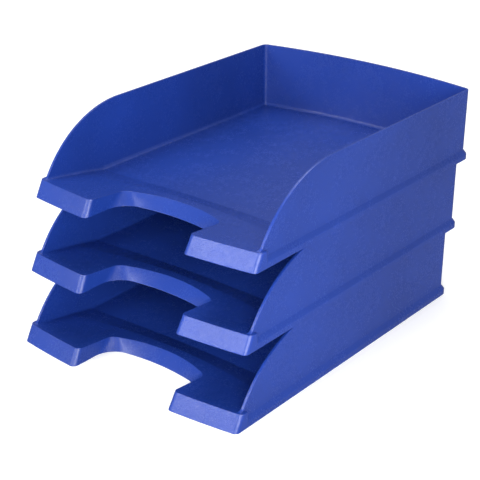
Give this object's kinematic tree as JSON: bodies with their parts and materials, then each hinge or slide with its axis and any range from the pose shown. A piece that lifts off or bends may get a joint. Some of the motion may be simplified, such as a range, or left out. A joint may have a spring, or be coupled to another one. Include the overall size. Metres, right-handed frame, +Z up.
{
  "type": "letter tray",
  "caption": "Stepped stack of open-front letter trays with swept side walls, a bowed back, a lapping skirt and a wide finger notch; each tray lifts off the one below.",
  "frame": {"origin": "middle of the stack's footprint, on the surface it stands on", "axes": "+X to the right seen from the open front, +Y from the open front to the back, +Z up"},
  "size_m": [0.255, 0.381, 0.208],
  "materials": {
    "tray_plastic": "satin gloss, fine moulded grain"
  },
  "bodies": {
    "bottom": {"bottom_tray": "tray_plastic"},
    "middle": {"middle_tray": "tray_plastic"},
    "top": {"top_tray": "tray_plastic"}
  },
  "joints": [
    {"name": "middle_tray_lift", "type": "slide", "parent": "bottom", "child": "middle", "axis": [0, 0, 1], "range_m": [0, 0.08]},
    {"name": "top_tray_lift", "type": "slide", "parent": "middle", "child": "top", "axis": [0, 0, 1], "range_m": [0, 0.08]}
  ]
}
